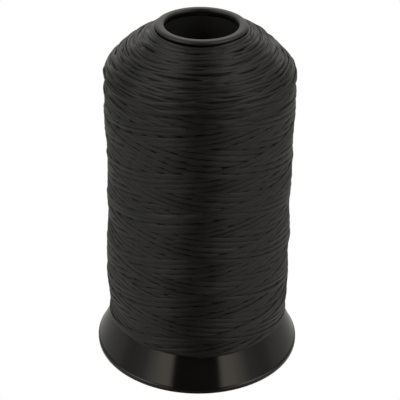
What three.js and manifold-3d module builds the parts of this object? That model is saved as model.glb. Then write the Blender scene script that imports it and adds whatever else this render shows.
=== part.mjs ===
// A large spool of thread: a moulded barrel pressed into a flared base, a rim collar on the barrel's
// top end, and one long thread cross-wound round the barrel into a round-shouldered package.
// Millimetres, +Z up. The origin is on the spool's axis, in the plane that the base stands on.

import * as THREE from "three";
import * as BufferGeometryUtils from "three/addons/utils/BufferGeometryUtils.js";
import Module from "manifold-3d";

// Driving dimensions: the whole spool
const HEIGHT = 146.4; // from the table to the crest of the rim
const BORE_RADIUS = 14.5; // the hole for a stand's pin, clear from end to end
const BASE_RADIUS = 43;
const RIM_RADIUS = 18.1;
const GAP = 0.3; // left between pieces that touch on the real spool

// Driving dimensions: the barrel
const BARREL_WALL = 1.5;
const GRIP_RIBS = 24; // low ribs along the barrel that hold the first layers of thread
const GRIP_RIB_HEIGHT = 0.3;
const GRIP_RIB_FLANK = 1; // degrees
const GRIP_RIB_HALF_WIDTH = 3.2; // degrees, at the rib's foot
const RIM_THICKNESS = 2.4; // of the rim's lip above the barrel's end
const RIM_ROUND = 1.5; // how far in the lip's outer edge rounds over
const RIM_ROUND_HEIGHT = 0.85;
const RIM_UNDERCUT = 0.6; // radius of the lip's underside, down to the collar's neck
const RIM_NECK_RADIUS = 17.4;
const COLLAR_LENGTH = 8.2; // of the rim collar, crest to foot

// Driving dimensions: the flared base
const DECK_HEIGHT = 14.8; // the thread rests on the deck
const DECK_RADIUS = 36; // where the deck starts to round over into the skirt
const DECK_EDGE_ROUND = 0.9;
const SKIRT_WALL = 2;
const LIP_HEIGHT = 1.4; // upright edge at the foot of the skirt
const LIP_ROUND = 0.7;
const LIP_CHAMFER = 0.4;
const SOCKET_WALL = 1.8; // sleeve under the deck that holds the barrel's foot
const SOCKET_FOOT = 1.5;
const SOCKET_LEDGE = 2; // inner ledge that the barrel's foot stands on
const WEB_COUNT = 8; // radial webs under the deck
const WEB_THICKNESS = 1.6;
const WEB_FOOT = 3;

// Driving dimensions: the thread package
const PACKAGE_RADIUS = 38; // mean radius of the wound body
const PACKAGE_BULGE = 0.3; // how much the body swells near its lower end
const PACKAGE_SHOULDER = 125.5; // height where the body turns into the shoulder
const PACKAGE_TOP = 144.6; // height where the last turns meet the rim
const PACKAGE_FOOT_RADIUS = 37.2;
const PACKAGE_FOOT_INNER = 36.6; // where the lowest turns leave the deck
const PACKAGE_OVERHANG = 0.8; // how far they hang down past the deck's edge

// How finely round pieces are faceted
const FACETS_AROUND_BASE = 96;
const FACETS_AROUND = 64;

const barrelRadius = BORE_RADIUS + BARREL_WALL;
const gripRadius = barrelRadius + GRIP_RIB_HEIGHT;
const socketRadius = gripRadius + GAP;
const barrelFoot = SOCKET_FOOT + SOCKET_LEDGE + GAP;
const barrelTop = HEIGHT - RIM_THICKNESS - GAP;
const collarFoot = HEIGHT - COLLAR_LENGTH;

const point = (radius, height) => new THREE.Vector2(radius, height);

// Part of a circle, or of an ellipse where rise, the height of its round, is given.
function arc(radius, height, bend, fromDegrees, toDegrees, steps, rise = bend) {
  const points = [];
  for (let i = 0; i <= steps; i += 1) {
    const angle = THREE.MathUtils.degToRad(fromDegrees + ((toDegrees - fromDegrees) * i) / steps);
    points.push(point(radius + bend * Math.cos(angle), height + rise * Math.sin(angle)));
  }
  return points;
}

// A closed outline, counter-clockwise in radius and height, turned round the spool's axis.
function turned(outline, facets) {
  const geometry = new THREE.LatheGeometry([...outline, outline[0]], facets);
  return geometry.rotateX(Math.PI / 2);
}

function piece(name, geometry, color, roughness) {
  const material = new THREE.MeshStandardMaterial({ color, roughness, metalness: 0 });
  const mesh = new THREE.Mesh(geometry, material);
  mesh.name = name;
  return mesh;
}

function barrelTube() {
  const outline = [];
  for (let rib = 0; rib < GRIP_RIBS; rib += 1) {
    const middle = (360 / GRIP_RIBS) * rib;
    const corners = [
      [barrelRadius, -GRIP_RIB_HALF_WIDTH],
      [gripRadius, -GRIP_RIB_HALF_WIDTH + GRIP_RIB_FLANK],
      [gripRadius, GRIP_RIB_HALF_WIDTH - GRIP_RIB_FLANK],
      [barrelRadius, GRIP_RIB_HALF_WIDTH],
    ];
    for (const [radius, offset] of corners) {
      const angle = THREE.MathUtils.degToRad(middle + offset);
      outline.push(point(radius * Math.cos(angle), radius * Math.sin(angle)));
    }
  }
  const section = new THREE.Shape(outline);
  section.holes.push(new THREE.Path().absarc(0, 0, BORE_RADIUS, 0, 2 * Math.PI, true));
  const geometry = new THREE.ExtrudeGeometry(section, {
    depth: barrelTop - barrelFoot,
    curveSegments: FACETS_AROUND,
    bevelEnabled: false,
  });
  return geometry.translate(0, 0, barrelFoot);
}

function topRim() {
  const innerRound = 0.9;
  const widest = HEIGHT - RIM_ROUND_HEIGHT;
  return turned(
    [
      point(socketRadius, collarFoot),
      point(RIM_NECK_RADIUS, collarFoot),
      point(RIM_NECK_RADIUS, widest - RIM_UNDERCUT),
      ...arc(RIM_RADIUS - RIM_UNDERCUT, widest, RIM_UNDERCUT, -75, -15, 3),
      ...arc(RIM_RADIUS - RIM_ROUND, widest, RIM_ROUND, 0, 90, 6, RIM_ROUND_HEIGHT),
      ...arc(BORE_RADIUS + innerRound, HEIGHT - innerRound, innerRound, 90, 180, 3),
      point(BORE_RADIUS, barrelTop + GAP),
      point(socketRadius, barrelTop + GAP),
    ],
    FACETS_AROUND,
  );
}

function solid(wasm, geometry) {
  const bare = geometry.index ? geometry.clone() : geometry;
  bare.deleteAttribute("normal");
  bare.deleteAttribute("uv");
  const merged = BufferGeometryUtils.mergeVertices(bare);
  const mesh = new wasm.Mesh({
    numProp: 3,
    vertProperties: new Float32Array(merged.attributes.position.array),
    triVerts: new Uint32Array(merged.index.array),
  });
  return new wasm.Manifold(mesh);
}

function toGeometry(manifold) {
  const mesh = manifold.getMesh();
  const geometry = new THREE.BufferGeometry();
  geometry.setAttribute("position", new THREE.BufferAttribute(mesh.vertProperties, 3));
  geometry.setIndex(new THREE.BufferAttribute(mesh.triVerts, 1));
  geometry.computeVertexNormals();
  return geometry;
}

function baseShell() {
  const lipTop = arc(BASE_RADIUS - LIP_ROUND, LIP_HEIGHT, LIP_ROUND, 0, 65, 3);
  const deckEdge = arc(DECK_RADIUS, DECK_HEIGHT - DECK_EDGE_ROUND, DECK_EDGE_ROUND, 25, 90, 3);
  const footInner = BASE_RADIUS - SKIRT_WALL;
  const deckUnderside = DECK_HEIGHT - SKIRT_WALL;
  const socketOuter = socketRadius + SOCKET_WALL;
  return turned(
    [
      point(footInner, 0),
      point(BASE_RADIUS - LIP_CHAMFER, 0),
      point(BASE_RADIUS, LIP_CHAMFER),
      ...lipTop,
      ...deckEdge,
      point(socketRadius, DECK_HEIGHT),
      point(socketRadius, SOCKET_FOOT + SOCKET_LEDGE),
      point(BORE_RADIUS, SOCKET_FOOT + SOCKET_LEDGE),
      point(BORE_RADIUS, SOCKET_FOOT),
      point(socketOuter, SOCKET_FOOT),
      point(socketOuter, deckUnderside),
      point(DECK_RADIUS - SKIRT_WALL / 2, deckUnderside),
      point(footInner, LIP_HEIGHT),
    ],
    FACETS_AROUND_BASE,
  );
}

function web(turn) {
  const inner = socketRadius + SOCKET_WALL / 2;
  const top = DECK_HEIGHT - SKIRT_WALL / 2;
  const outline = new THREE.Shape([
    point(inner, WEB_FOOT),
    point(BASE_RADIUS - SKIRT_WALL, WEB_FOOT),
    point(DECK_RADIUS, top),
    point(inner, top),
  ]);
  const geometry = new THREE.ExtrudeGeometry(outline, { depth: WEB_THICKNESS, bevelEnabled: false });
  return geometry.translate(0, 0, -WEB_THICKNESS / 2).rotateX(Math.PI / 2).rotateZ(turn);
}

function baseFlange(wasm) {
  let whole = solid(wasm, baseShell());
  const pitch = (2 * Math.PI) / WEB_COUNT;
  for (let i = 0; i < WEB_COUNT; i += 1) {
    whole = whole.add(solid(wasm, web(pitch * (i + 0.5))));
  }
  return toGeometry(whole);
}

// The package's outer shape: a nearly straight body whose lowest turns hang a little over the deck's
// edge, and a convex shoulder that closes in to the rim.
function threadWinding() {
  const foot = DECK_HEIGHT + GAP;
  const body = new THREE.SplineCurve([
    point(PACKAGE_FOOT_RADIUS, foot),
    point(PACKAGE_RADIUS + PACKAGE_BULGE, foot + 22),
    point(PACKAGE_RADIUS - PACKAGE_BULGE, (foot + PACKAGE_SHOULDER) / 2 + 10),
    point(PACKAGE_RADIUS, PACKAGE_SHOULDER),
  ]);
  const shoulder = new THREE.CubicBezierCurve(
    point(PACKAGE_RADIUS, PACKAGE_SHOULDER),
    point(PACKAGE_RADIUS + 0.3, PACKAGE_SHOULDER + 5.5),
    point(RIM_RADIUS + 8.4, PACKAGE_TOP - 4.2),
    point(RIM_RADIUS + GAP + 0.6, PACKAGE_TOP),
  );
  return turned(
    [
      point(socketRadius, foot),
      point(PACKAGE_FOOT_INNER, foot),
      point(PACKAGE_FOOT_RADIUS, DECK_HEIGHT - PACKAGE_OVERHANG),
      ...body.getPoints(7),
      ...shoulder.getPoints(8).slice(1),
      point(RIM_RADIUS + GAP, PACKAGE_TOP),
      point(RIM_RADIUS + GAP, collarFoot - GAP),
      point(socketRadius, collarFoot - GAP),
    ],
    FACETS_AROUND,
  );
}

const wasm = await Module();
wasm.setup();

const spool = new THREE.Group();
spool.add(
  piece("base_flange", baseFlange(wasm), 0x1a1919, 0.22),
  piece("barrel_tube", barrelTube(), 0x161616, 0.5),
  piece("top_rim", topRim(), 0x262626, 0.45),
  piece("thread_winding", threadWinding(), 0x232221, 0.6),
);

export default spool;
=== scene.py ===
"""Looks for the spool of thread: the winding laid strand by strand, the moulded base, rim and barrel,
their materials, and a plain white studio. Lengths inside the functions are millimetres."""

import math

import bpy
import numpy as np
from mathutils import Matrix, Vector


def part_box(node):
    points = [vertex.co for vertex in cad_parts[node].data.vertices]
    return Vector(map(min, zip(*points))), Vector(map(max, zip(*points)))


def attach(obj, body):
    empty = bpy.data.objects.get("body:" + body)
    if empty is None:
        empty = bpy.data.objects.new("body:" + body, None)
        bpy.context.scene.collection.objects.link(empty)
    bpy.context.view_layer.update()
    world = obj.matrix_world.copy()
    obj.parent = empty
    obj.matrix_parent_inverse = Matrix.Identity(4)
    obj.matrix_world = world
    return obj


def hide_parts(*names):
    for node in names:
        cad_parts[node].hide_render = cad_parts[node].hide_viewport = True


MM = 0.001
SEED = 7
rng = np.random.default_rng(SEED)

# ---------------------------------------------------------------- driving dimensions (mm)

STRAND_KINDS = {  # width, how square the section is, and how much it rolls about its own length
    "body": (2.3, 6, 0.06),
    "shoulder": (1.7, 4, 0.14),  # the thread stands more on its edge where it turns round
}
STRAND_DEPTH = 0.88  # from the crown of a strand down to its edges
LAYER_RISE = 0.3  # what one more strand adds to the package
SINK = 0.03  # how far a strand beds into those under it
SOFTNESS = 0.45  # how much of a hollow under it a taut strand gives way to
MOST_TILT = 0.35  # of a strand's section, as a slope
DIVE_DEPTH = 0.8  # how far a short strand's ends go down under what comes after it
CORE_DEPTH = 1.3  # below the outline, where a plain core takes over from the laid strands

HELIX_TURN = 39.0  # about the rise of a strand in one turn round the body
STRAND_SHIFT = 2.42  # between neighbours that run the same way
BODY_PASSES = 113  # single traverses, up or down
BODY_START = -180  # the column that the first traverse starts from
TOP_TURN = -6.0  # where the last traverses turn round, from the start of the shoulder
TOP_FALL = 4.0  # how much lower the last traverse turns round than the first
LOW_TURN = 0.5  # where the traverses turn round at the foot, from the package's lower corner
LOWEST = 0.4  # no thread runs lower than this
CORNER_SCATTER = 0.002  # turns, of the place round the package where a traverse ends

SHOULDER_HEIGHT = 19.5  # from the body's end up to the rim
SHOULDER_RING_SHIFT = 1.8  # between the edges of two layers on the shoulder
ARCS_A_RING = 10
FIRST_ARC = 0.9  # the top of the first arc, down from the rim
ARC_LENGTH = 44.0
ARC_LEAN = 4.0  # degrees, of an arc's two ends next to the rim
ARC_LEAN_MORE = 4.0  # what the outermost arcs add to that
ARCS_BELOW = 2.0  # how far the arcs go on past the body's last turn-rounds
UNDERLAYER_SHIFT = 1.5  # between the turns that lie under the shoulder's arcs
UNDERLAYER_START = 0.2  # the first turn, up under the rim's lip
UNDERLAYER_BELOW = 8.0  # how far they go on past the body's last turn-rounds

COMPACT_EVERY = 8  # stretches laid between two settlings of the whole winding
COMPACT_ROUND = 9.0  # how far the settling evens out, round the package
COMPACT_ALONG = 4.0  # and along its outline
BULGES = 0.2  # how much the finished package swells and dips, as a standard deviation

# ---------------------------------------------------------------- height map of the winding

STEP_ANGLE = math.radians(0.5)
COLUMNS = 720
ROW = 0.25
STRETCH = 600  # samples of the long thread that are laid at a time
JOIN = 40  # samples in which one stretch passes into the next
RING_STEP = 4  # samples between two rings of a strand's mesh
LONGEST_RUN = 3000  # samples of one strand in one mesh
LATERAL = np.linspace(-1, 1, 15)
SIDE = 6  # of these, how many count as one side of a strand
SIDES_APART = 0.64  # between the middles of the two sides, as a share of the width
RESTING = 7  # of these, how many carry the strand: the highest
HIDDEN_DEPTH = 0.4  # a strand this far under the surface can't be seen
KEPT_WINDOW = 61  # samples; a strand is kept for half of these past the last that can be seen

CAMERA_LENS = 126.27
CAMERA_ELEVATION = math.radians(30.128)
CAMERA_ROLL = math.radians(0.8725)
CAMERA_DISTANCE = 581.75  # from the point that it looks at
CAMERA_TARGET = (0.447, 0.0, 67.6)


def smooth(values, sigma):
    """A Gaussian moving average; sigma is in samples."""
    reach = max(1, int(3 * sigma))
    kernel = np.exp(-0.5 * (np.arange(-reach, reach + 1) / sigma) ** 2)
    kernel /= kernel.sum()
    return np.convolve(np.pad(values, reach, mode="edge"), kernel, mode="valid")


def wander(count, sigma, amount):
    """Seeded smooth noise of standard deviation amount."""
    raw = smooth(rng.normal(size=count + 8 * int(sigma) + 8), sigma)[:count]
    return raw / max(raw.std(), 1e-9) * amount


def crown(across, flatness):
    """A strand's section: 1 in the middle, 0 at the edges, which are at -1 and 1."""
    return np.clip(1 - np.abs(across) ** flatness, 0, 1) ** 0.6


# ---------------------------------------------------------------- the package's meridian


class Meridian:
    """The package's outer outline, from its lower corner to the rim, at even steps of arc length."""

    margin = 2.0
    smoothing = 1.0

    def __init__(self, node):
        corners = np.array([v.co for v in node.data.vertices]) / MM
        radius = np.hypot(corners[:, 0], corners[:, 1])
        height = np.round(corners[:, 2], 3)
        rim = radius[height == height.max()].max()
        outline = []
        for level in np.unique(height):
            widest = radius[height == level].max()
            if widest > rim - 0.1:
                outline.append((widest, level))
        outline = np.array(outline)
        run = np.concatenate([[0], np.cumsum(np.hypot(*np.diff(outline, axis=0).T))])
        self.length = run[-1]
        self.s = np.arange(-self.margin, self.length + self.margin, ROW)
        self.r = smooth(self.extended(run, outline[:, 0]), self.smoothing / ROW)
        self.z = smooth(self.extended(run, outline[:, 1]), self.smoothing / ROW)
        dr, dz = np.gradient(self.r), np.gradient(self.z)
        size = np.hypot(dr, dz)
        self.normal_r = dz / size
        self.normal_z = -dr / size
        body = self.z < self.z.max() - SHOULDER_HEIGHT
        self.shoulder = self.s[body].max()

    def extended(self, run, values):
        """Values along the outline, carried on straight past both of its ends."""
        out = np.interp(self.s, run, values)
        first = (values[1] - values[0]) / (run[1] - run[0])
        last = (values[-1] - values[-2]) / (run[-1] - run[-2])
        out += np.minimum(self.s, 0) * first
        out += np.maximum(self.s - self.length, 0) * last
        return out

    def at(self, s, values):
        return np.interp(s, self.s, values)

    def row(self, s):
        return np.clip((s + self.margin) / ROW, 0, len(self.s) - 1.001)


# ---------------------------------------------------------------- laying strands


def taut(support, step, radius):
    """The height of a taut thread over a support: it bridges hollows, and leaves bumps at a tangent."""
    x = np.arange(len(support)) * step
    bend = x * x / (2 * radius)
    lifted = support - bend
    hull = []
    for i in range(len(x)):
        while len(hull) > 1:
            a, b = hull[-2], hull[-1]
            if (lifted[b] - lifted[a]) * (i - a) <= (lifted[i] - lifted[a]) * (b - a):
                hull.pop()
            else:
                break
        hull.append(i)
    return np.interp(x, x[hull], lifted[hull]) + bend


def gaussian_response(count, sigma):
    """The frequency response of a Gaussian average over a ring of count samples."""
    frequency = np.arange(count // 2 + 1) / count
    return np.exp(-2 * (math.pi * frequency * sigma) ** 2)


class Strand:
    """A stretch of thread: where its middle runs, and how it lies there."""

    def __init__(self, kind, column, s):
        width, self.flatness, roll = STRAND_KINDS[kind]
        self.kind = kind
        self.column = column
        self.s = s
        self.width = width * (1 + np.clip(wander(len(s), 90, 0.05), -0.3, 0.08))
        self.roll = wander(len(s), 50, roll)
        self.base = np.zeros(len(s))
        self.tilt = np.zeros(len(s))

    def offsets(self, part, across=LATERAL):
        return self.width[part][:, None] * across[None, :] / 2

    def top(self, part, across=LATERAL):
        flat = self.base[part][:, None] + self.tilt[part][:, None] * self.offsets(part, across)
        return flat + LAYER_RISE + STRAND_DEPTH * (crown(across, self.flatness)[None, :] - 1)


class Winding:
    """Lays strands one after another on a height map and remembers each one's path."""

    def __init__(self, meridian):
        self.m = meridian
        self.height = np.zeros((COLUMNS, len(meridian.s)))
        self.settled = np.zeros_like(self.height)
        self.strands = []
        self.stretches = 0

    def cells(self, strand, part):
        s = strand.s[part][:, None] + strand.offsets(part)
        rows = np.rint(self.m.row(s)).astype(int)
        return np.broadcast_to((strand.column[part] % COLUMNS)[:, None], rows.shape), rows

    def sunk(self, strand, part):
        """How far the package has settled, in all, where the strand runs."""
        row = self.m.row(strand.s[part])
        low = row.astype(int)
        column = strand.column[part] % COLUMNS
        share = row - low
        return self.settled[column, low] * (1 - share) + self.settled[column, low + 1] * share

    def bed(self, strand, part):
        """Where a strand comes to lie on what is already wound: its base and its tilt."""
        under = self.height[self.cells(strand, part)]
        lean = (under[:, -SIDE:].mean(1) - under[:, :SIDE].mean(1)) / (SIDES_APART * strand.width[part])
        tilt = np.clip(smooth(lean, 5) * 0.9 + strand.roll[part], -MOST_TILT, MOST_TILT)
        level = np.sort(under - tilt[:, None] * strand.offsets(part), 1)
        support = level[:, -RESTING:].mean(1)
        radius = self.m.at(strand.s[part], self.m.r).mean()
        base = taut(support, STEP_ANGLE * radius, radius)
        base += SOFTNESS * (smooth(support, 8) - base)
        return smooth(base, 2) - SINK, tilt

    def press(self, strand, part):
        """Writes the strand's top into the height map."""
        np.maximum.at(self.height, self.cells(strand, part), strand.top(part))
        self.stretches += 1
        if self.stretches % COMPACT_EVERY == 0:
            self.compact()

    def lay_short(self, strand, dive):
        """Lays a short strand whose ends dive under what comes after it."""
        part = slice(None)
        base, strand.tilt = self.bed(strand, part)
        count = len(base)
        edge = np.minimum(np.arange(count), np.arange(count)[::-1])
        strand.base = base - DIVE_DEPTH * np.clip(1 - edge / dive, 0, 1) ** 2
        above = self.sunk(strand, part)
        self.press(strand, part)
        strand.base = strand.base + above
        self.strands.append(strand)

    def lay_long(self, strand):
        """Lays one long thread a stretch at a time, each stretch passing smoothly into the next."""
        count = len(strand.s)
        absolute = np.zeros(count)
        tilts = np.zeros(count)
        for first in range(0, count, STRETCH):
            last = min(first + STRETCH + JOIN, count)
            part = slice(first, last)
            base, tilt = self.bed(strand, part)
            sunk = self.sunk(strand, part)
            share = np.ones(last - first)
            if first:
                join = min(JOIN, last - first)
                share[:join] = np.linspace(0, 1, join)
            absolute[part] = absolute[part] * (1 - share) + (base + sunk) * share
            tilts[part] = tilts[part] * (1 - share) + tilt * share
            done = slice(first, min(first + STRETCH, count))
            strand.base[done] = absolute[done] - self.sunk(strand, done)
            strand.tilt[done] = tilts[done]
            self.press(strand, done)
        strand.base = absolute
        strand.tilt = tilts
        self.strands.append(strand)

    def even(self, values):
        """The slow part of a map: round the package it joins up, and at the ends it is mirrored."""
        columns, rows = values.shape
        body_radius = self.m.r.max()
        round_response = gaussian_response(columns, COMPACT_ROUND / (body_radius * STEP_ANGLE))
        along_response = gaussian_response(2 * rows, COMPACT_ALONG / ROW)
        out = np.fft.irfft(np.fft.rfft(values, axis=0) * round_response[:, None], columns, axis=0)
        both = np.concatenate([out, out[:, ::-1]], 1)
        return np.fft.irfft(np.fft.rfft(both, axis=1) * along_response[None, :], 2 * rows, axis=1)[:, :rows]

    def compact(self):
        """Keeps the package even: where it stands high, the thread's tension sinks it, with all under it."""
        slow = self.even(self.height)
        self.height -= slow
        self.settled += slow

    def finish(self):
        """Takes every strand down by what it has sunk since it was laid, and on to the package's outline."""
        self.compact()
        bulges = self.even(rng.normal(size=self.height.shape))
        raised = bulges * (BULGES / bulges.std())
        self.height += raised
        self.settled -= raised
        for strand in self.strands:
            strand.base = strand.base - self.sunk(strand, slice(None))


def shoulder_underlayer(winding):
    """One spiral from the rim's lip to below the shoulder; its first turn shows, next to the rim."""
    m = winding.m
    turns = math.ceil((m.length - m.shoulder - TOP_TURN + UNDERLAYER_BELOW) / UNDERLAYER_SHIFT)
    column = np.arange(COLUMNS * turns)
    s = m.length + UNDERLAYER_START - UNDERLAYER_SHIFT * np.maximum(column / COLUMNS - 1, 0)
    winding.lay_short(Strand("shoulder", column, s + wander(len(column), 60, 0.1)), dive=60)


def shoulder_arcs(winding):
    """The turn-rounds of the inner layers, which show on the shoulder: the innermost lies nearest the rim."""
    m = winding.m
    first = m.length - FIRST_ARC
    last = m.shoulder + TOP_TURN - ARCS_BELOW
    count = round((first - last) / SHOULDER_RING_SHIFT * ARCS_A_RING)
    for i in range(count):
        share = i / count
        apex = min(first + (last - first) * share + rng.normal() * 0.25, first)
        radius = m.at(apex, m.r)
        lean = math.tan(math.radians(ARC_LEAN + ARC_LEAN_MORE * share + rng.normal()))
        half_count = int(ARC_LENGTH * rng.uniform(0.9, 1.15) / 2 / radius / STEP_ANGLE)
        offset = np.arange(-half_count, half_count + 1)
        x = offset * STEP_ANGLE * radius
        round_off = rng.uniform(0.8, 1.6)
        drop = np.sqrt((x * lean) ** 2 + round_off**2) - round_off
        s = apex - drop + wander(len(x), 20, 0.12)
        middle = COLUMNS * (i * (0.5 + 0.5 / ARCS_A_RING) + rng.normal() * 0.006)
        winding.lay_short(Strand("shoulder", int(middle) + offset, s), dive=18)


def body_thread(winding):
    """One long thread to and fro along the body, each traverse a strand's width on from its neighbour."""
    m = winding.m
    high = m.shoulder + TOP_TURN
    span = high + TOP_FALL / 2 - LOW_TURN
    double_turns = math.floor(2 * span / HELIX_TURN) + 0.5
    double_turns -= STRAND_SHIFT * double_turns / (4 * span)
    ends = []
    corners = [0.0]
    for i in range(BODY_PASSES + 1):
        if i % 2:
            ends.append(high + TOP_FALL * (1 - i / BODY_PASSES) + rng.normal() * 0.2)
        else:
            ends.append(LOW_TURN + abs(rng.normal()) * 0.25)
        corners.append(corners[-1] + double_turns / 2 + rng.normal() * CORNER_SCATTER)
    corners = np.array(corners[:-1]) * COLUMNS
    column = np.arange(0, int(corners[-1]))
    s = smooth(np.interp(column, corners, ends), 20)
    s += wander(len(s), 120, 0.1) + wander(len(s), 25, 0.02)
    winding.lay_long(Strand("body", column + BODY_START, np.clip(s, LOWEST, None)))


# ---------------------------------------------------------------- meshes


def make_object(name, vertices, quads, caps=(), uv=None):
    mesh = bpy.data.meshes.new(name)
    mesh.vertices.add(len(vertices))
    mesh.vertices.foreach_set("co", (vertices * MM).astype(np.float32).ravel())
    corners = np.concatenate([quads.ravel(), *caps])
    sizes = np.array([4] * len(quads) + [len(cap) for cap in caps])
    mesh.loops.add(len(corners))
    mesh.loops.foreach_set("vertex_index", corners.astype(np.int32))
    mesh.polygons.add(len(sizes))
    starts = np.concatenate([[0], np.cumsum(sizes)[:-1]])
    mesh.polygons.foreach_set("loop_start", starts.astype(np.int32))
    mesh.polygons.foreach_set("use_smooth", np.arange(len(sizes)) < len(quads))
    if uv is not None:
        layer = mesh.uv_layers.new(name="strand")
        layer.data.foreach_set("uv", uv[corners].astype(np.float32).ravel())
    mesh.update()
    mesh.validate()
    item = bpy.data.objects.new(name, mesh)
    bpy.context.scene.collection.objects.link(item)
    return item


# A strand's section: points across it, over the top and back along the underside.
SECTION_TOP = np.array([-1, -0.97, -0.9, -0.75, -0.4, 0, 0.4, 0.75, 0.9, 0.97, 1])
SECTION_UNDER = np.array([0.6, -0.6])
UNDERSIDE = 0.12  # how far the underside lies below the edges


def strand_mesh(winding, strand, first, last, run_before):
    """Points, side faces, two end caps with points of their own, and uv (in 10 mm along, widths across)."""
    m = winding.m
    pick = np.unique(np.concatenate([np.arange(first, last, RING_STEP), [last - 1]]))
    s = strand.s[pick]
    angle = strand.column[pick] * STEP_ANGLE
    radius = m.at(s, m.r)
    bend = np.arctan(strand.slope[pick] / radius)
    across = np.concatenate([SECTION_TOP, SECTION_UNDER])
    y = strand.offsets(pick, across)
    lift = strand.top(pick, across)
    middle = strand.base[pick] + LAYER_RISE - STRAND_DEPTH - UNDERSIDE
    lift[:, len(SECTION_TOP):] = middle[:, None] + strand.tilt[pick][:, None] * y[:, len(SECTION_TOP):]
    s_point = s[:, None] + y * np.cos(bend)[:, None]
    angle_point = angle[:, None] - y * np.sin(bend)[:, None] / radius[:, None]
    r = m.at(s_point, m.r) + lift * m.at(s_point, m.normal_r)
    z = m.at(s_point, m.z) + lift * m.at(s_point, m.normal_z)
    vertices = np.stack([r * np.cos(angle_point), r * np.sin(angle_point), z], -1)
    rings, sides = r.shape
    grid = np.arange(rings * sides).reshape(rings, sides)
    a, b = grid[:-1], grid[1:]
    quads = np.stack([a, np.roll(a, -1, 1), np.roll(b, -1, 1), b], -1).reshape(-1, 4)
    run = np.cumsum(np.concatenate([[0], np.diff(angle) * radius[1:]])) + run_before
    u = np.broadcast_to(run[:, None], r.shape)
    v = np.broadcast_to(across / 2 + 0.5, r.shape)
    uv = np.stack([u, v], -1) * (0.1, 1)
    vertices, uv = (np.concatenate([a.reshape(rings * sides, -1), a[0], a[-1]]) for a in (vertices, uv))
    caps = [rings * sides + np.arange(sides)[::-1], (rings + 1) * sides + np.arange(sides)]
    return vertices, quads, caps, uv


def visible_runs(winding, strand):
    """The stretches of a strand that anything can be seen of, as pairs of sample numbers.

    A long one is cut where it lies deepest under others.
    """
    everything = slice(None)
    under = winding.height[winding.cells(strand, everything)]
    cover = (under - strand.top(everything))[:, 1:-1].min(1)
    grown = np.convolve(cover < HIDDEN_DEPTH, np.ones(KEPT_WINDOW), mode="same") > 0.5
    edges = np.flatnonzero(np.diff(np.concatenate([[0], grown.astype(int), [0]])))
    runs = []
    for first, last in zip(edges[::2], edges[1::2]):
        cuts = [first]
        while last - cuts[-1] > LONGEST_RUN:
            start = cuts[-1] + LONGEST_RUN // 2
            cuts.append(start + int(np.argmax(cover[start:start + LONGEST_RUN // 2])))
        cuts.append(last - 1)
        runs.extend((a, b + 1) for a, b in zip(cuts, cuts[1:]) if b - a > 3 * RING_STEP)
    return runs


def joined(name, parts):
    """One mesh object from many strands' points and faces."""
    vertices, quads, caps, uvs, offset = [], [], [], [], 0
    for points, faces, ends, uv in parts:
        vertices.append(points)
        quads.append(faces + offset)
        caps.extend([cap + offset for cap in ends])
        uvs.append(uv)
        offset += len(points)
    return make_object(name, np.concatenate(vertices), np.concatenate(quads), caps, np.concatenate(uvs))


def strand_pieces(winding, kind, limit=85000):
    """Joins a kind's visible strands into meshes, starting a new one once a mesh passes limit faces.
    Joins a kind's visible strands into as few meshes as the export takes.
    """
    batches, batch, total = [], [], 0
    for number, strand in enumerate(winding.strands):
        if strand.kind != kind:
            continue
        strand.slope = np.gradient(strand.s, STEP_ANGLE)
        for first, last in visible_runs(winding, strand):
            run_before = number * 33.7 + first * 0.33  # no two strands show the same filaments
            made = strand_mesh(winding, strand, first, last, run_before)
            batch.append(made)
            total += len(made[1])
            if total > limit:
                batches.append(batch)
                batch, total = [], 0
    if batch:
        batches.append(batch)
    return [joined(f"thread_{kind}_{index + 1}", batch) for index, batch in enumerate(batches)]


def arc(radius, height, bend, start, end, steps, squash=1.0):
    """Points on a round of an outline; the angles are in degrees."""
    angle = np.radians(np.linspace(start, end, steps + 1))
    return list(zip(radius + bend * np.cos(angle), height + bend * squash * np.sin(angle)))


def turned(outline, facets):
    """A closed outline (radius, height), counter-clockwise, turned round the axis."""
    outline = np.array(outline, float)
    angle = np.arange(facets) * 2 * math.pi / facets
    r = np.broadcast_to(outline[:, 0], (facets, len(outline)))
    z = np.broadcast_to(outline[:, 1], (facets, len(outline)))
    vertices = np.stack([r * np.cos(angle)[:, None], r * np.sin(angle)[:, None], z], -1)
    grid = np.arange(facets * len(outline)).reshape(facets, len(outline))
    a, b = grid, np.roll(grid, -1, 0)
    quads = np.stack([a, b, np.roll(b, -1, 1), np.roll(a, -1, 1)], -1).reshape(-1, 4)
    return vertices.reshape(-1, 3), quads


def package_core(meridian):
    """The winding under the laid strands, out to just below them."""
    low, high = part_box("thread_winding")
    keep = (meridian.s >= 0) & (meridian.s <= meridian.length)
    r = (meridian.r - CORE_DEPTH * meridian.normal_r)[keep][::6]
    z = (meridian.z - CORE_DEPTH * meridian.normal_z)[keep][::6]
    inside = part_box("barrel_tube")[1].x / MM + SEAT_GAP
    z = np.clip(z, low.z / MM, high.z / MM - 1.2)
    outline = [(inside, z[0])] + list(zip(r, z)) + [(inside, z[-1])]
    return make_object("thread_core", *turned(outline, 192))


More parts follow.
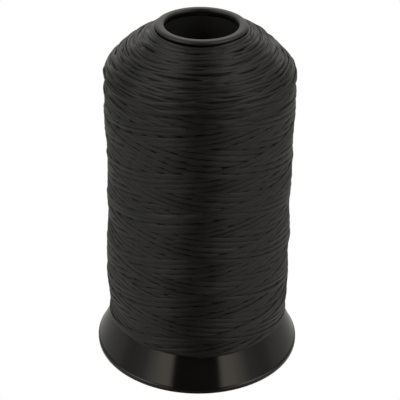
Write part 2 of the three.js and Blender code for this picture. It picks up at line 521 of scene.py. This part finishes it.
# Driving dimensions of the mouldings (mm), apart from those that the frame's boxes give
FACETS = 256
BORE_RADIUS = 14.5
RIM_INNER_ROUND = 0.9
RIM_ROUND = 1.5
RIM_ROUND_HEIGHT = 0.85
RIM_UNDERCUT = 0.6
RIM_NECK_RADIUS = 17.4
SKIRT_WALL = 2.0
DECK_RADIUS = 36.0
DECK_EDGE_ROUND = 0.9
LIP_HEIGHT = 1.4
LIP_ROUND = 0.7
LIP_FOOT_ROUND = 0.4
FOOT_INNER_ROUND = 0.25
FINE_ROUND = 0.3  # edges inside the bore and the socket
SEAT_GAP = 0.3  # between the barrel and what it is pressed into
SOCKET_RADIUS = 16.6
SOCKET_WALL = 1.8
SOCKET_FOOT = 1.5
SOCKET_LEDGE = 2.0
GRIP_RIB_HEIGHT = 0.3
WEBS = 8
WEB_THICKNESS = 1.6
WEB_FOOT = 3.0


def web(turn, outer, top):
    """A radial web under the deck, drafted a little thinner towards its foot."""
    corners = [(SOCKET_RADIUS + 1, WEB_FOOT), (outer, WEB_FOOT), (DECK_RADIUS, top), (SOCKET_RADIUS + 1, top)]
    vertices = []
    for side in (-1, 1):
        for radius, height in corners:
            half = WEB_THICKNESS / 2 - 0.02 * (top - height)
            vertices.append((radius, side * half, height))
    vertices = np.array(vertices)
    c, s = math.cos(turn), math.sin(turn)
    x = vertices[:, 0] * c - vertices[:, 1] * s
    y = vertices[:, 0] * s + vertices[:, 1] * c
    quads = [(0, 1, 2, 3), (7, 6, 5, 4)]
    for i in range(4):
        j = (i + 1) % 4
        quads.append((j, i, i + 4, j + 4))
    return np.stack([x, y, vertices[:, 2]], -1), np.array(quads)


def base_piece():
    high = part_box("base_flange")[1]
    outer, deck = high.x / MM, high.z / MM
    under = deck - SKIRT_WALL
    socket_outer = SOCKET_RADIUS + SOCKET_WALL
    foot = outer - SKIRT_WALL
    outline = [(foot, 0.0)]
    outline += arc(foot + FOOT_INNER_ROUND, FOOT_INNER_ROUND, FOOT_INNER_ROUND, 180, 270, 3)[1:]
    outline += arc(outer - LIP_FOOT_ROUND, LIP_FOOT_ROUND, LIP_FOOT_ROUND, 270, 360, 5)
    lip = arc(outer - LIP_ROUND, LIP_HEIGHT, LIP_ROUND, 0, 65, 8)
    edge = arc(DECK_RADIUS, deck - DECK_EDGE_ROUND, DECK_EDGE_ROUND, 25, 90, 8)
    skirt = np.linspace(lip[-1], edge[0], 21)  # its points next to the rounds keep it straight
    outline += lip + [tuple(skirt[1]), tuple(skirt[-2])] + edge
    outline += arc(SOCKET_RADIUS + FINE_ROUND, deck - FINE_ROUND, FINE_ROUND, 90, 180, 4)
    outline += [(SOCKET_RADIUS, SOCKET_FOOT + SOCKET_LEDGE), (BORE_RADIUS, SOCKET_FOOT + SOCKET_LEDGE)]
    outline += arc(BORE_RADIUS + FINE_ROUND, SOCKET_FOOT + FINE_ROUND, FINE_ROUND, 180, 270, 4)
    outline += [(socket_outer - 0.2, SOCKET_FOOT), (socket_outer, SOCKET_FOOT + 0.2)]
    outline += [(socket_outer, under - 0.5), (socket_outer + 0.5, under)]
    outline += [(DECK_RADIUS - SKIRT_WALL / 2, under), (foot, LIP_HEIGHT)]
    parts = [turned(outline, FACETS)]
    for i in range(WEBS):
        parts.append(web((i + 0.5) * 2 * math.pi / WEBS, foot, under + 0.5))
    vertices, quads, offset = [], [], 0
    for points, faces in parts:
        vertices.append(points)
        quads.append(faces + offset)
        offset += len(points)
    return make_object("base_moulding", np.concatenate(vertices), np.concatenate(quads))


def rim_piece():
    low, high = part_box("top_rim")
    outer, crest, foot = high.x / MM, high.z / MM, low.z / MM
    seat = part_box("barrel_tube")[1].z / MM + SEAT_GAP
    widest = crest - RIM_ROUND_HEIGHT
    outline = [(SOCKET_RADIUS, foot), (RIM_NECK_RADIUS, foot), (RIM_NECK_RADIUS, widest - RIM_UNDERCUT)]
    outline += arc(outer - RIM_UNDERCUT, widest, RIM_UNDERCUT, -80, 0, 8)
    outline += arc(outer - RIM_ROUND, widest, RIM_ROUND, 0, 90, 14, RIM_ROUND_HEIGHT / RIM_ROUND)[1:]
    outline += arc(BORE_RADIUS + RIM_INNER_ROUND, crest - RIM_INNER_ROUND, RIM_INNER_ROUND, 90, 180, 10)
    outline += [(BORE_RADIUS, seat), (SOCKET_RADIUS, seat)]
    return make_object("rim_collar", *turned(outline, FACETS))


def barrel_piece():
    """The barrel without its ribs, which the thread hides."""
    low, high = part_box("barrel_tube")
    outer, foot, top = high.x / MM - GRIP_RIB_HEIGHT, low.z / MM, high.z / MM
    outline = [(BORE_RADIUS, foot + FINE_ROUND), (BORE_RADIUS + FINE_ROUND, foot)]
    outline += [(outer, foot), (outer, top)]
    outline += [(BORE_RADIUS + FINE_ROUND, top), (BORE_RADIUS, top - FINE_ROUND)]
    return make_object("barrel_moulding", *turned(outline, FACETS))


# ---------------------------------------------------------------- materials


def new_material(name):
    material = bpy.data.materials.new(name)
    material.use_nodes = True
    nodes = material.node_tree.nodes
    return material, nodes, material.node_tree.links, nodes["Principled BSDF"]


def math_node(nodes, links, operation, a, b=0.0):
    node = nodes.new("ShaderNodeMath")
    node.operation = operation
    for socket, value in zip(node.inputs, (a, b)):
        if isinstance(value, (int, float)):
            socket.default_value = value
        else:
            links.new(value, socket)
    return node.outputs[0]


def mapped(nodes, links, value, low, high, to_low, to_high):
    node = nodes.new("ShaderNodeMapRange")
    for name, number in zip(("From Min", "From Max", "To Min", "To Max"), (low, high, to_low, to_high)):
        node.inputs[name].default_value = number
    links.new(value, node.inputs["Value"])
    return node.outputs[0]


def ramp(nodes, links, source, stops):
    node = nodes.new("ShaderNodeValToRGB")
    elements = node.color_ramp.elements
    elements.remove(elements[1])
    for index, (place, shade) in enumerate(stops):
        element = elements.new(place) if index else elements[0]
        element.position = place
        element.color = (*np.broadcast_to(shade, 3), 1)
    links.new(source, node.inputs["Fac"])
    return node.outputs["Color"]


def mixed(nodes, links, factor, first, second, blend="MIX"):
    """A mix of two colours; the factor and the second may be plain values."""
    node = nodes.new("ShaderNodeMix")
    node.data_type = "RGBA"
    node.blend_type = blend
    for name, value in (("Factor", factor), ("A", first), ("B", second)):
        if isinstance(value, (float, tuple)):
            node.inputs[name].default_value = value
        else:
            links.new(value, node.inputs[name])
    return node.outputs["Result"]


def noise(nodes, links, vector, scale, detail):
    node = nodes.new("ShaderNodeTexNoise")
    node.inputs["Scale"].default_value = scale
    node.inputs["Detail"].default_value = detail
    links.new(vector, node.inputs["Vector"])
    return node.outputs["Fac"]


def stretched(nodes, links, along, across, along_scale, across_scale):
    node = nodes.new("ShaderNodeCombineXYZ")
    links.new(math_node(nodes, links, "MULTIPLY", along, along_scale), node.inputs["X"])
    links.new(math_node(nodes, links, "MULTIPLY", across, across_scale), node.inputs["Y"])
    return node.outputs[0]


def thread_material():
    """Flat black thread: filaments along it, a faint braid, and edges that turn away from the light, with
    painted shade that also darkens the colour towards each strand's edges.
    """
    material, nodes, links, shader = new_material("thread")
    uv = nodes.new("ShaderNodeUVMap")
    uv.uv_map = "strand"
    split = nodes.new("ShaderNodeSeparateXYZ")
    links.new(uv.outputs[0], split.inputs[0])
    along, across = split.outputs["X"], split.outputs["Y"]

    filaments = noise(nodes, links, stretched(nodes, links, along, across, 1.6, 26.0), 1.0, 3.0)
    tone = noise(nodes, links, stretched(nodes, links, along, across, 0.35, 0.6), 1.0, 2.0)
    from_middle = math_node(nodes, links, "ABSOLUTE", math_node(nodes, links, "SUBTRACT", across, 0.5))
    shade = ramp(nodes, links, tone, [(0.3, (0.006, 0.0058, 0.0054)), (0.7, (0.014, 0.0134, 0.0125))])
    # painted shade: the colour darkens to a twentieth towards each strand's edges, standing in for the shadow
    # between neighbouring strands
    edge = ramp(nodes, links, from_middle, [(0.36, 1.0), (0.46, 0.05)])
    links.new(mixed(nodes, links, 1.0, shade, edge, "MULTIPLY"), shader.inputs["Base Color"])

    rough = mapped(nodes, links, filaments, 0.0, 1.0, 0.36, 0.52)
    dull = mapped(nodes, links, from_middle, 0.4, 0.48, 0.0, 0.45)
    links.new(math_node(nodes, links, "ADD", rough, dull), shader.inputs["Roughness"])

    bump = nodes.new("ShaderNodeBump")
    bump.inputs["Strength"].default_value = 0.6
    bump.inputs["Distance"].default_value = 0.00006
    links.new(filaments, bump.inputs["Height"])
    links.new(bump.outputs[0], shader.inputs["Normal"])

    tangent = nodes.new("ShaderNodeTangent")
    tangent.direction_type = "UV_MAP"
    tangent.uv_map = "strand"
    links.new(tangent.outputs[0], shader.inputs["Tangent"])
    shader.inputs["Anisotropic"].default_value = 0.75
    shader.inputs["Anisotropic Rotation"].default_value = 0.25
    shader.inputs["Specular IOR Level"].default_value = 0.4
    return material


def core_material():
    material, nodes, links, shader = new_material("thread_core")
    place = nodes.new("ShaderNodeTexCoord").outputs["Object"]
    shade = ramp(nodes, links, noise(nodes, links, place, 900, 2), [(0.3, 0.003), (0.7, 0.006)])
    links.new(shade, shader.inputs["Base Color"])
    shader.inputs["Roughness"].default_value = 0.9
    shader.inputs["Specular IOR Level"].default_value = 0.1
    return material


def moulded_material(name, base, roughness, grain_size, grain_depth, specular):
    """Moulded plastic: a fine grain, faint flow marks in the colour, and smudges in the gloss."""
    material, nodes, links, shader = new_material(name)
    place = nodes.new("ShaderNodeTexCoord").outputs["Object"]
    grain = noise(nodes, links, place, 1 / (grain_size * MM), 2)
    smudge = noise(nodes, links, place, 60, 4)
    darker = tuple(c * 0.85 for c in base)
    lighter = tuple(c * 1.15 for c in base)
    links.new(ramp(nodes, links, smudge, [(0.35, darker), (0.65, lighter)]), shader.inputs["Base Color"])
    rough = mapped(nodes, links, smudge, 0.0, 1.0, roughness * 0.85, roughness * 1.2)
    links.new(rough, shader.inputs["Roughness"])
    bump = nodes.new("ShaderNodeBump")
    bump.inputs["Strength"].default_value = 0.5
    bump.inputs["Distance"].default_value = grain_depth * MM
    links.new(grain, bump.inputs["Height"])
    links.new(bump.outputs[0], shader.inputs["Normal"])
    shader.inputs["Specular IOR Level"].default_value = specular
    return material


# ---------------------------------------------------------------- the studio

DAYLIGHT = np.array([1.0, 0.99, 0.93])
LAMPLIGHT = np.array([1.0, 0.93, 0.79])

# How bright the tent is round the object: 0 is the front, 1 the side behind the object.
WALL_LIGHT = [
    (0.0, 0.03 * DAYLIGHT), (0.135, 0.03 * DAYLIGHT), (0.165, 1.6 * LAMPLIGHT), (0.23, 1.5 * LAMPLIGHT),
    (0.34, 0.5 * DAYLIGHT), (0.43, 0.33 * DAYLIGHT), (0.66, 0.3 * DAYLIGHT), (0.8, 0.5 * DAYLIGHT),
    (0.9, 0.9 * DAYLIGHT), (1.0, 1.3 * DAYLIGHT),
]
FLOOR_LIGHT = [
    (0.0, 0.14 * DAYLIGHT), (0.07, 0.16 * DAYLIGHT), (0.2, 0.46 * DAYLIGHT), (0.45, 0.52 * DAYLIGHT),
    (0.7, 0.38 * DAYLIGHT), (1.0, 0.5 * DAYLIGHT),
]
# The same, high up on the tent.
HIGH_LIGHT = [
    (0.0, 0.02 * DAYLIGHT), (0.27, 0.02 * DAYLIGHT), (0.36, 2.4 * DAYLIGHT), (0.54, 2.2 * DAYLIGHT),
    (0.64, 0.5 * DAYLIGHT), (1.0, 0.4 * DAYLIGHT),
]
ROOF_LIGHT = 0.05 * DAYLIGHT


def round_from_front(nodes, links, direction):
    """0 for a direction towards the front of the tent, 1 for one towards its back; and its height."""
    split = nodes.new("ShaderNodeSeparateXYZ")
    links.new(direction, split.inputs[0])
    back = math_node(nodes, links, "MULTIPLY", split.outputs["Y"], -1.0)
    turn = math_node(nodes, links, "ARCTAN2", split.outputs["X"], back)
    size = math_node(nodes, links, "ABSOLUTE", turn)
    return math_node(nodes, links, "DIVIDE", size, math.pi), split.outputs["Z"]


def white_to_the_camera(nodes, links, light):
    path = nodes.new("ShaderNodeLightPath")
    return mixed(nodes, links, path.outputs["Is Camera Ray"], light, (1, 1, 1, 1))


def tent():
    """The light that the walls of a white tent throw on the object."""
    world = bpy.data.worlds.new("studio")
    bpy.context.scene.world = world
    world.use_nodes = True
    nodes, links = world.node_tree.nodes, world.node_tree.links
    direction = nodes.new("ShaderNodeTexCoord").outputs["Generated"]
    turn, height = round_from_front(nodes, links, direction)
    rising = mapped(nodes, links, height, 0.46, 0.6, 0.0, 1.0)
    low_down = ramp(nodes, links, turn, WALL_LIGHT)
    high_up = ramp(nodes, links, turn, HIGH_LIGHT)
    walls = mixed(nodes, links, rising, low_down, high_up)
    roof = mapped(nodes, links, height, 0.95, 0.99, 0.0, 1.0)
    whole = mixed(nodes, links, roof, walls, (*ROOF_LIGHT, 1))
    links.new(white_to_the_camera(nodes, links, whole), nodes["Background"].inputs["Color"])


def floor():
    size = 3000.0
    corners = np.array([(-1, -1, 0), (1, -1, 0), (1, 1, 0), (-1, 1, 0)], float) * size
    sheet = make_object("floor", corners, np.array([[0, 1, 2, 3]]))
    material, nodes, links, shader = new_material("floor")
    place = nodes.new("ShaderNodeTexCoord").outputs["Object"]
    turn = round_from_front(nodes, links, place)[0]
    light = white_to_the_camera(nodes, links, ramp(nodes, links, turn, FLOOR_LIGHT))
    links.new(light, shader.inputs["Emission Color"])
    shader.inputs["Emission Strength"].default_value = 1.0
    shader.inputs["Base Color"].default_value = (0, 0, 0, 1)
    shader.inputs["Roughness"].default_value = 1.0
    shader.inputs["Specular IOR Level"].default_value = 0.0
    sheet.data.materials.append(material)


def camera():
    data = bpy.data.cameras.new("camera")
    data.lens = CAMERA_LENS
    data.sensor_width = 36
    data.clip_start = 0.01
    item = bpy.data.objects.new("camera", data)
    forward = Vector((0, math.cos(CAMERA_ELEVATION), -math.sin(CAMERA_ELEVATION)))
    right = Vector((1, 0, 0))
    up = right.cross(forward)
    x = math.cos(CAMERA_ROLL) * right + math.sin(CAMERA_ROLL) * up
    y = -math.sin(CAMERA_ROLL) * right + math.cos(CAMERA_ROLL) * up
    place = (Vector(CAMERA_TARGET) - CAMERA_DISTANCE * forward) * MM
    item.matrix_world = Matrix.Translation(place) @ Matrix((x, y, -forward)).transposed().to_4x4()
    bpy.context.scene.collection.objects.link(item)
    bpy.context.scene.camera = item


# ---------------------------------------------------------------- put together

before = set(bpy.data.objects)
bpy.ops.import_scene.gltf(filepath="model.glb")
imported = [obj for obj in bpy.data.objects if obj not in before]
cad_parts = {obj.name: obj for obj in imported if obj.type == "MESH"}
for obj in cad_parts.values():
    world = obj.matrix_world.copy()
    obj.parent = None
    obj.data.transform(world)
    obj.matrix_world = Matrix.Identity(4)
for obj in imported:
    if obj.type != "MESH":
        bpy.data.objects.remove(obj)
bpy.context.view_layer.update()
bpy.context.scene.view_settings.view_transform = "Standard"
camera()
tent()
floor()

meridian = Meridian(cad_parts["thread_winding"])
winding = Winding(meridian)
shoulder_underlayer(winding)
shoulder_arcs(winding)
body_thread(winding)
winding.finish()

thread = thread_material()
core = package_core(meridian)
core.data.materials.append(core_material())
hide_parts("thread_winding")
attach(core, "root")
for kind in ("shoulder", "body"):
    for item in strand_pieces(winding, kind):
        item.data.materials.append(thread)
        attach(item, "root")

# What makes each moulding, its node and slot, and its colour, roughness, grain's size and depth, and gloss
mouldings = [
    (base_piece, "base_flange", "base_plastic", (0.006, 0.0057, 0.0055), 0.12, 0.6, 0.006, 0.42),
    (rim_piece, "top_rim", "rim_plastic", (0.014, 0.0137, 0.0134), 0.36, 0.25, 0.02, 0.4),
    (barrel_piece, "barrel_tube", "barrel_plastic", (0.005, 0.005, 0.005), 0.7, 0.3, 0.02, 0.2),
]
for make_piece, node, slot, *look in mouldings:
    item = make_piece()
    item.data.materials.append(moulded_material(slot, *look))
    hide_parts(node)
    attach(item, "root")
